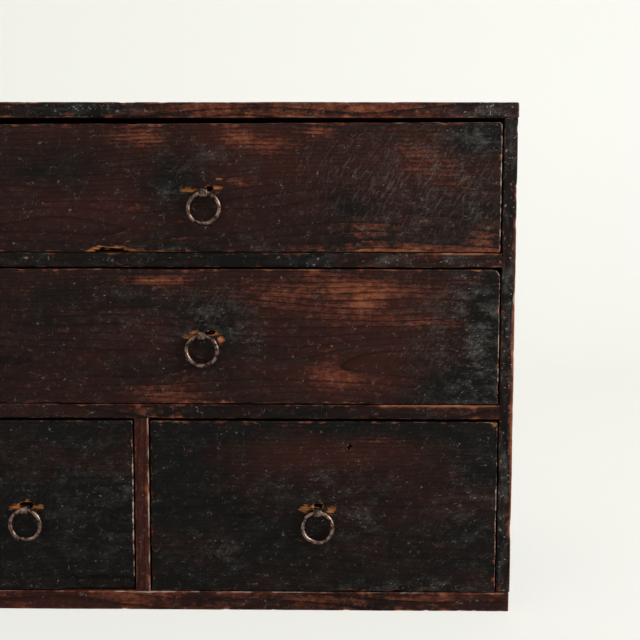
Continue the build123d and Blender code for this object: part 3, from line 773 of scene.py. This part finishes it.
FRONTS = (
    front_board(
        "top_drawer_front", 1.0, worn=0.1, tone=0.42,
        worn_spots=((-45, 343, 24, 7, 0.48), (23, 343, 15, 8, 0.52), (45, 336, 24, 9, 0.38), (80, 347, 12, 5, 0.5),
            (150, 328, 30, 16, 0.25), (175, 318, 24, 8, 0.25), (118, 276, 24, 9, 0.35), (145, 263, 62, 4.5, 0.62),
            (198, 272, 12, 10, 0.35), (-56, 321, 14, 8, 0.3), (26, 311, 11, 4, 0.3), (-48, 293, 16, 5, 0.2)),
        # the black spot at x -22 beside the pull is a painted shadow of the ring
        tone_spots=((23, 343, 30, 12, 0.4), (-22, 305, 28, 32, -0.42), (-66, 302, 24, 25, 0.15),
            (105, 292, 20, 14, -0.3), (195, 342, 22, 12, -0.45), (150, 325, 35, 20, 0.3), (40, 280, 60, 18, 0.05)),
        scratch_spots=((150, 310, 55, 34, 0.9), (95, 320, 20, 20, 0.4), (-14, 316, 10, 8, 0.5),
            (193, 290, 18, 30, 0.5)),
        pale_spots=((210, 306, 3, 60, 0.8), (150, 352, 70, 3, 0.3)),
        dust_spots=((-22, 303, 9, 6, 1.2), (8, 328, 22, 12, 0.8), (36, 266, 10, 5, 1.2), (-30, 263, 12, 4, 0.9),
            (118, 275, 6, 4, 1.2), (195, 342, 22, 14, 0.9), (165, 305, 45, 40, 0.5)),
        gouges=((-9.8, 305.0, 6.4, 1.9, 1.0), (9.2, 306.6, 5.4, 1.9, 1.0), (11.5, 311.6, 3.6, 1.3, 0.75),
            (4.4, 305.6, 2.2, 2.1, 6.0), (-66, 260.8, 14, 3.0, 4.5), (-23, 261.4, 20, 0.7, 0.9),
            (5.3, 288, 1.0, 1.0, 0.8)),
        corners=((1, 1, 2.5),), droop=1.9, nicks=50,
    ),
    front_board(
        "middle_drawer_front", 0.9, worn=0.1, tone=0.45,
        worn_spots=((-37, 241, 28, 3.5, 0.6), (100, 235, 78, 10, 0.5), (125, 216, 45, 10, 0.3),
            (115, 224, 10, 4, 0.35), (160, 212, 17, 6, 0.35), (97, 170, 28, 8, 0.5), (-24, 158, 22, 8, 0.45),
            (45, 226, 14, 6, 0.2)),
        # the black spot at x 2 round the pull is a painted shadow of the ring
        tone_spots=((100, 228, 90, 22, 0.35), (2, 205, 24, 20, -0.45), (205, 200, 18, 60, -0.45),
            (180, 163, 40, 14, -0.4), (97, 168, 34, 12, 0.4), (-24, 158, 30, 12, 0.4)),
        scratch_spots=((10, 222, 20, 12, 0.8), (165, 200, 30, 30, 0.3)),
        pale_spots=((210, 205, 3, 60, 0.6), (207, 248, 14, 3, 0.6)),
        dust_spots=((4, 214, 26, 13, 1.1), (30, 200, 12, 10, 0.8), (-50, 215, 24, 20, 0.5), (195, 200, 26, 60, 1.5)),
        gouges=((-11, 200.6, 4.6, 2.0, 1.0), (-5, 204.2, 4.8, 1.5, 1.05), (6.5, 203.4, 4.4, 1.8, 1.05),
            (12, 199, 3.0, 2.8, 1.05), (3.2, 203.4, 3.4, 1.3, 5.0), (26, 196.6, 2, 1.1, 0.7), (211, 181, 1.2, 4, 0.8)),
        corners=((1, 1, 5.0),), nicks=50,
    ),
    front_board(
        "lower_left_drawer_front", 1.0, worn=-0.05, tone=0.08,
        gouges=((-138.5, 76, 4.6, 2.4, 1.0), (-121.0, 76, 4.6, 2.2, 1.0), (-130, 77.6, 4.4, 2.4, 7.0)),
        scratch_spots=((-130, 90, 40, 30, 0.15),),
        pale_spots=((-52, 75, 3, 60, 0.8),),
        dust_spots=((-60, 91, 8, 5, 1.6), (-80, 75, 60, 60, 0.3)),
        lost=(-110, 25.5, 3.0),
    ),
    front_board(
        "lower_right_drawer_front", 1.0, worn=0.0, tone=0.12,
        worn_spots=((125, 126, 26, 4, 0.45), (70, 122, 30, 8, 0.15), (111, 109, 4, 4, 0.35), (168, 82, 14, 3, 0.2),
            (152, 114, 5, 4, 0.2), (172, 120, 4, 9, 0.2), (208, 40, 3, 20, 0.3), (-10, 118, 4, 5, 0.3)),
        tone_spots=((95, 118, 65, 15, 0.5), (0, 100, 30, 30, 0.1), (170, 100, 30, 30, 0.1)),
        scratch_spots=((10, 42, 12, 9, 0.5), (180, 60, 30, 20, 0.15)),
        pale_spots=((210, 60, 3, 50, 0.8), (208, 138, 12, 4, 0.3)),
        dust_spots=((85, 92, 30, 12, 0.9), (110, 65, 18, 16, 0.7), (190, 80, 18, 30, 0.6), (160, 18, 60, 5, 1.2),
            (10, 45, 22, 14, 0.6)),
        gouges=((72.0, 75.6, 4.6, 3.0, 1.05), (91.4, 74.6, 3.4, 3.2, 1.05), (81.6, 77.4, 3.4, 2.0, 5.0),
            (208, 138.2, 4.0, 1.8, 0.9), (104.6, 121.6, 0.75, 0.75, 30.0), (-11, 69, 0.9, 2.2, 0.5),
            (11, 79, 0.9, 0.9, 0.45), (181, 51, 1.2, 0.8, 0.5)),
        nicks=50,
    ),
)
DRAWERS = ("top_drawer", "middle_drawer", "lower_left_drawer", "lower_right_drawer")
WALLS = {"left_side": "y", "right_side": "y", "back": "x", "bottom": "x"}  # and the axis of each one's grain
WALL_BOARDS = tuple(
    Board(f"{drawer}_{wall}", grain, (), (5.0, 5.0, 5.0), 0.5, nicks=6)
    for drawer in DRAWERS
    for wall, grain in WALLS.items()
)


# ---------------------------------------------------------------- pulls
def tube(rows):
    """Quads round a grid of rows of points whose first and last rows are drawn in to a point."""
    count, around = rows.shape[:2]
    i, j = np.meshgrid(np.arange(count - 1), np.arange(around), indexing="ij")
    k = (j + 1) % around
    faces = np.stack([i * around + j, i * around + k, (i + 1) * around + k, (i + 1) * around + j], axis=-1)
    return rows.reshape(-1, 3), faces.reshape(-1, 4)


PULLS = {
    "top_drawer": (236, 1),
    "middle_drawer": (53, 2),
    "lower_left_drawer": (250, 3),
    "lower_right_drawer": (145, 4),
}  # where each ring's two ends meet, in degrees from its right, and the seed of its hammering
# lengths of the pulls in millimetres
WIRE_RADIUS = 1.7
RING_RADIUS = 10.8  # to the middle of the wire
RING_GAP = 0.8
STRAP_WIDTH = 5.6
STRAP_THICKNESS = 1.2
SLIT = 0.2  # between the strap's two legs
EYE_RADIUS = 2.85  # to the middle of the strap
BEND_RADIUS = 0.9  # from a leg into its foot
FOOT = 10.0
# points along the wire, along the dome at each of its ends and round it, and along the strap's parts and round it
RING_STEPS, DOME_STEPS, RING_SIDES = 181, 4, 28
EYE_STEPS, BEND_STEPS, FOOT_STEPS, LEG_STEPS, STRAP_SIDES = 49, 7, 14, 22, 32


def pull_places(drawer):
    """Where a pull is, in millimetres: the pin's X, the ring's Y, the pin's Z, and the Y of the pin's far end."""
    pin_low, pin_high = (np.array(corner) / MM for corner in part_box(f"{drawer}_pin"))
    ring_low, ring_high = (np.array(corner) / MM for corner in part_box(f"{drawer}_ring"))
    middle = (pin_low + pin_high) / 2
    return middle[0], (ring_low + ring_high)[1] / 2, middle[2], pin_high[1]


def ring_rows(drawer, hammering):
    """A wire bent round: centre + (R + r cos a) e(t) + r sin a y, where e(t) turns from one end to the other. Noise
    flattens r in facets, and R bends and Y sways a little away from the eye. Towards its ends the wire is drawn
    thinner, the one end stands out a little further than the other, and each closes in a low dome."""
    split, seed = PULLS[drawer]
    x, y, z, _ = pull_places(drawer)
    half_gap = math.degrees(RING_GAP / RING_RADIUS) / 2
    turn = np.radians(np.linspace(split + half_gap, split + 360 - half_gap, RING_STEPS))
    dome = np.sin(np.linspace(0, math.pi / 2, DOME_STEPS + 1))[:-1]
    turn = np.concatenate([np.full(DOME_STEPS, turn[0]), turn, np.full(DOME_STEPS, turn[-1])])
    swell = np.concatenate([dome, np.ones(RING_STEPS), dome[::-1]])
    swell[0] = swell[-1] = 0.02
    push = np.concatenate([(1 - dome) * -0.15, np.zeros(RING_STEPS), (1 - dome[::-1]) * 0.15])
    start, end = (np.exp(-(((turn - place) * RING_RADIUS / 3.5) ** 2)) for place in (turn[0], turn[-1]))
    swell *= 1 - 0.3 * start - 0.12 * end
    free = (1 - np.sin(turn)) / 2  # 0 in the eye, 1 at the bottom
    bent = 0.3 * np.sin(2 * turn + seed) + 0.12 * np.sin(5 * turn + 2 * seed)
    radius = RING_RADIUS + free * bent + 0.3 * (end - start)
    sway = free * 0.35 * np.sin(turn * 3 + seed * 1.7)
    around = np.linspace(0, 2 * math.pi, RING_SIDES, endpoint=False)
    t, a = np.meshgrid(turn, around, indexing="ij")
    sample = np.stack([RING_RADIUS * np.cos(t), RING_RADIUS * np.sin(t), 1.6 * a], axis=-1).reshape(-1, 3)
    facets = value_noise(sample, (7, 7, 3.2), 60 + seed).reshape(t.shape)
    r = WIRE_RADIUS * swell[:, None] * (1 - hammering / WIRE_RADIUS * 2 * (1 - facets)) * (1 + 0.02 * np.cos(4 * a))
    reach = radius[:, None] + r * np.cos(a)
    t = t + push[:, None] / RING_RADIUS
    side, out, up = reach * np.cos(t), r * np.sin(a) + sway[:, None], reach * np.sin(t)
    return np.stack([x + side, y + out, z - RING_RADIUS + up], axis=-1)


def pin_rows(drawer, hammering):
    """A flat strap carried along its path in the Y-Z plane: in along the upper leg, round the eye, out along the lower
    leg, with its feet turned away from each other. A point is path + w x + h n, where w and h run round a rounded
    oblong, sign(c)|c|^0.4 of the angle's cosine and sine, and noise sinks the strap's face."""
    seed = PULLS[drawer][1]
    x, y, z, foot_y = pull_places(drawer)
    leg = (STRAP_THICKNESS + SLIT) / 2
    foot_middle = foot_y - STRAP_THICKNESS / 2
    bend = BEND_RADIUS
    open_angle = math.asin(leg / EYE_RADIUS)
    eye = np.linspace(open_angle, 2 * math.pi - open_angle, EYE_STEPS)
    corner = np.linspace(0, math.pi / 2, BEND_STEPS)
    foot_run = np.linspace(leg + STRAP_THICKNESS / 2 + FOOT - 1.0, leg + bend, FOOT_STEPS)
    leg_run = np.linspace(foot_middle - bend, y + EYE_RADIUS * math.cos(open_angle), LEG_STEPS)[1:-1]
    upper = [
        np.stack([np.full_like(foot_run, foot_middle), foot_run], axis=1),
        np.stack([foot_middle - bend * (1 - np.cos(corner)), leg + bend - bend * np.sin(corner)], axis=1)[1:],
        np.stack([leg_run, np.full_like(leg_run, leg)], axis=1),
    ]
    upper = np.concatenate(upper)
    round_eye = np.stack([y + EYE_RADIUS * np.cos(eye), EYE_RADIUS * np.sin(eye)], axis=1)
    path = np.concatenate([upper, round_eye, upper[::-1] * [1, -1]])
    along = np.gradient(path, axis=0)
    along /= np.linalg.norm(along, axis=1)[:, None]
    normal = np.stack([-along[:, 1], along[:, 0]], axis=1)
    a = np.linspace(0, 2 * math.pi, STRAP_SIDES, endpoint=False)
    w = np.sign(np.cos(a)) * np.abs(np.cos(a)) ** 0.4
    h = np.sign(np.sin(a)) * np.abs(np.sin(a)) ** 0.55
    scale = np.ones(len(path))
    scale[[0, 1, 2]] = scale[[-1, -2, -3]] = 0.03, 0.6, 0.9
    in_eye = np.exp(-(((path[:, 0] - (y - EYE_RADIUS)) / 2.2) ** 2))
    half_width = STRAP_WIDTH / 2 * scale * (1 + 0.06 * in_eye)
    half_thick = STRAP_THICKNESS / 2 * scale
    count = len(path)
    sample = [np.repeat(np.arange(count) * 0.5, STRAP_SIDES), np.tile(3 * w, count), np.tile(3 * h, count)]
    dull = value_noise(np.stack(sample, axis=1), 2.2, 80 + seed).reshape(count, STRAP_SIDES)
    dull = 1 - hammering / STRAP_THICKNESS * dull
    across = w * half_width[:, None] * dull
    out = h * half_thick[:, None] * dull
    return np.stack([x + across, path[:, :1] + out * normal[:, :1], z + path[:, 1:] + out * normal[:, 1:]], axis=-1)


# ---------------------------------------------------------------- operators
def wear_boards(context, boards, material):
    """Builds several boards of one slot and material, and ends the operator."""
    for board in boards:
        worn_board(board, context.scene.chest_wear, chest_material(material))
    return {"FINISHED"}


class CHEST_OT_case(bpy.types.Operator):
    """Builds the lacquered boards of the case: top, bottom, sides, rails and partition"""

    bl_idname = "chest.case"
    bl_label = "Case boards"

    def execute(self, context):
        return wear_boards(context, CASE_BOARDS, "worn_lacquered_cedar")


class CHEST_OT_back(bpy.types.Operator):
    """Builds the bare planks of the back"""

    bl_idname = "chest.back"
    bl_label = "Back planks"

    def execute(self, context):
        return wear_boards(context, BACK_BOARDS, "bare_cedar")


class CHEST_OT_fronts(bpy.types.Operator):
    """Builds the four lacquered drawer fronts"""

    bl_idname = "chest.fronts"
    bl_label = "Drawer fronts"

    def execute(self, context):
        fine_fronts = []
        for board, drawer in zip(FRONTS, DRAWERS):
            x, _, z, _ = pull_places(drawer)
            fine_fronts.append(board._replace(fine=((0, x - 14, x + 14, 0.5), (2, z - 5, z + 8, 0.5))))
        return wear_boards(context, fine_fronts, "worn_lacquered_cedar")


class CHEST_OT_drawer_boxes(bpy.types.Operator):
    """Builds the bare sides, backs and bottoms of the drawers"""

    bl_idname = "chest.drawer_boxes"
    bl_label = "Drawer boxes"

    def execute(self, context):
        return wear_boards(context, WALL_BOARDS, "bare_cedar")


class CHEST_OT_pegs(bpy.types.Operator):
    """Gives the pegs their wood"""

    bl_idname = "chest.pegs"
    bl_label = "Pegs"

    def execute(self, context):
        for name, node in frame["nodes"].items():
            if name.endswith("_pegs"):
                node.data.materials.clear()
                node.data.materials.append(chest_material("whittled_peg_wood"))
        return {"FINISHED"}


class CHEST_OT_pulls(bpy.types.Operator):
    """Builds each drawer's iron ring and the split pin that holds it"""

    bl_idname = "chest.pulls"
    bl_label = "Pulls"

    def execute(self, context):
        hammering = context.scene.chest_iron.hammering / MM
        iron = chest_material("hammered_iron")
        for drawer in DRAWERS:
            for part, rows in (("ring", ring_rows(drawer, hammering)), ("pin", pin_rows(drawer, hammering))):
                points, faces = tube(rows)
                new_piece(f"forged_{drawer}_{part}", points, faces, f"{drawer}_{part}", iron)
        return {"FINISHED"}


class CHEST_OT_stage(bpy.types.Operator):
    """Sets the floor, the backdrop, the soft lamps and the camera"""

    bl_idname = "chest.stage"
    bl_label = "Floor, light and camera"

    def execute(self, context):
        stage = context.scene.chest_stage
        scene = context.scene
        scene.view_settings.view_transform = "Standard"
        lay_floor(stage)
        lamp("window_light", (2.1, -1.3, 1.1), (1.3, 2.2), stage.window)
        lamp("front_fill", (-1.5, -1.9, 0.9), (1.6, 1.6), stage.fill)
        light_sky(scene, stage)
        place_camera(scene)
        return {"FINISHED"}


# ---------------------------------------------------------------- stage
def seen_directly(tree):
    """1 for the rays of the camera and those that shiny or clear things send, else 0."""
    rays = add(tree, "LightPath").outputs
    direct = add(tree, "Math", {0: rays["Is Camera Ray"], 1: rays["Is Glossy Ray"]}, operation="MAXIMUM")
    return add(tree, "Math", {0: direct, 1: rays["Is Transmission Ray"]}, operation="MAXIMUM")


def pale_paper(stage):
    """Matt pale paper. What sees it directly gets part of it as its own light, so it stays pale and keeps shadows."""
    material, tree = new_material("pale_paper")
    share = add(tree, "Math", {0: seen_directly(tree), 1: 0.65}, operation="MULTIPLY")
    matt = add(tree, "BsdfDiffuse", {"Color": (*stage.floor, 1)})
    glow = add(tree, "Emission", {"Color": (*stage.floor, 1), "Strength": 1.0})
    mixed = add(tree, "MixShader", {0: share, 1: matt, 2: glow})
    add(tree, "OutputMaterial", {"Surface": mixed})
    return material


def lay_floor(stage):
    """A floor that rises into a backdrop: along Y it is flat, then a quarter circle of radius 0.7 m, then upright."""
    bend, wall, near, top, half = 0.7, 1.9, -4.0, 4.0, 7.0
    arc = np.linspace(0, math.pi / 2, 25)
    y = np.concatenate([[near], wall - bend + bend * np.sin(arc), [wall]])
    z = np.concatenate([[0.0], bend - bend * np.cos(arc), [top]])
    rows = np.stack([np.stack([np.full_like(y, side), y, z], axis=1) for side in (-half, half)])
    count = len(y)
    i = np.arange(count - 1)
    faces = np.stack([i, i + count, i + count + 1, i + 1], axis=1)
    mesh = bpy.data.meshes.new("paper_backdrop")
    mesh.from_pydata(rows.reshape(-1, 3).tolist(), [], faces.tolist())
    mesh.shade_smooth()
    mesh.materials.append(pale_paper(stage))
    floor = bpy.data.objects.new("paper_backdrop", mesh)
    bpy.context.scene.collection.objects.link(floor)


LAMP_TARGET = (0.05, -0.1, 0.2)  # in the chest's front, where both lamps point


def lamp(name, place, size, power):
    """An oblong soft lamp, of a width and a height, aimed at the chest."""
    light = bpy.data.lights.new(name, "AREA")
    light.shape = "RECTANGLE"
    light.size, light.size_y = size
    light.energy = power
    item = bpy.data.objects.new(name, light)
    aim = Vector(LAMP_TARGET) - Vector(place)
    item.matrix_world = Matrix.Translation(place) @ aim.to_track_quat("-Z", "Y").to_matrix().to_4x4()
    bpy.context.scene.collection.objects.link(item)


def light_sky(scene, stage):
    """Even light from all round, which what sees it directly sees as pale paper."""
    scene.world = bpy.data.worlds.new("pale_room")
    scene.world.use_nodes = True
    tree = scene.world.node_tree
    tree.nodes.clear()
    strength = add(tree, "MapRange", {"Value": seen_directly(tree), "To Min": stage.sky, "To Max": 1.0})
    sky = add(tree, "Background", {"Color": (*stage.floor, 1), "Strength": strength})
    add(tree, "OutputWorld", {"Surface": sky})


CAMERA_PLACE = (89.2, -752.2, 259.7)  # mm
CAMERA_YAW, CAMERA_PITCH, CAMERA_ROLL = (math.radians(v) for v in (0.572, -4.243, 0.116))


def place_camera(scene):
    """A 50 mm lens on a 36 mm sensor, turned about the upright by its yaw, then tipped by its pitch and rolled."""
    data = bpy.data.cameras.new("photo_camera")
    data.lens = 50
    data.sensor_width = 36
    data.clip_start = 0.01
    camera = bpy.data.objects.new("photo_camera", data)
    turn = Matrix.Rotation(CAMERA_YAW, 4, "Z") @ Matrix.Rotation(math.pi / 2 + CAMERA_PITCH, 4, "X")
    camera.matrix_world = Matrix.Translation(Vector(CAMERA_PLACE) * MM) @ turn @ Matrix.Rotation(CAMERA_ROLL, 4, "Z")
    scene.collection.objects.link(camera)
    scene.camera = camera


# ---------------------------------------------------------------- panel
BOARD_STEPS = (CHEST_OT_case, CHEST_OT_back, CHEST_OT_fronts, CHEST_OT_drawer_boxes)
STEPS = (*BOARD_STEPS, CHEST_OT_pegs, CHEST_OT_pulls, CHEST_OT_stage)
GROUPS = {
    "chest_lacquer": ChestLacquer,
    "chest_wood": ChestWood,
    "chest_iron": ChestIron,
    "chest_wear": ChestWear,
    "chest_stage": ChestStage,
}


class CHEST_PT_panel(bpy.types.Panel):
    """Lists the chest's steps and their settings."""

    bl_idname = "CHEST_PT_panel"
    bl_label = "Chest"
    bl_space_type = "VIEW_3D"
    bl_region_type = "UI"
    bl_category = "Chest"

    def draw(self, context):
        for step in STEPS:
            self.layout.operator(step.bl_idname)
        for name, group in GROUPS.items():
            box = self.layout.box()
            for setting in group.__annotations__:
                box.prop(getattr(context.scene, name), setting)


CLASSES = (*GROUPS.values(), *STEPS, CHEST_PT_panel)


def register():
    """Registers the classes and hangs the settings on the scene."""
    for item in CLASSES:
        bpy.utils.register_class(item)
    for name, group in GROUPS.items():
        setattr(bpy.types.Scene, name, PointerProperty(type=group))


def unregister():
    """Takes the settings and classes away again."""
    for name in GROUPS:
        delattr(bpy.types.Scene, name)
    for item in reversed(CLASSES):
        bpy.utils.unregister_class(item)


def main():
    register()
    bpy.ops.chest.case()
    bpy.ops.chest.back()
    bpy.ops.chest.fronts()
    bpy.ops.chest.drawer_boxes()
    bpy.ops.chest.pegs()
    bpy.ops.chest.pulls()
    bpy.ops.chest.stage()


if __name__ == "__main__":
    main()
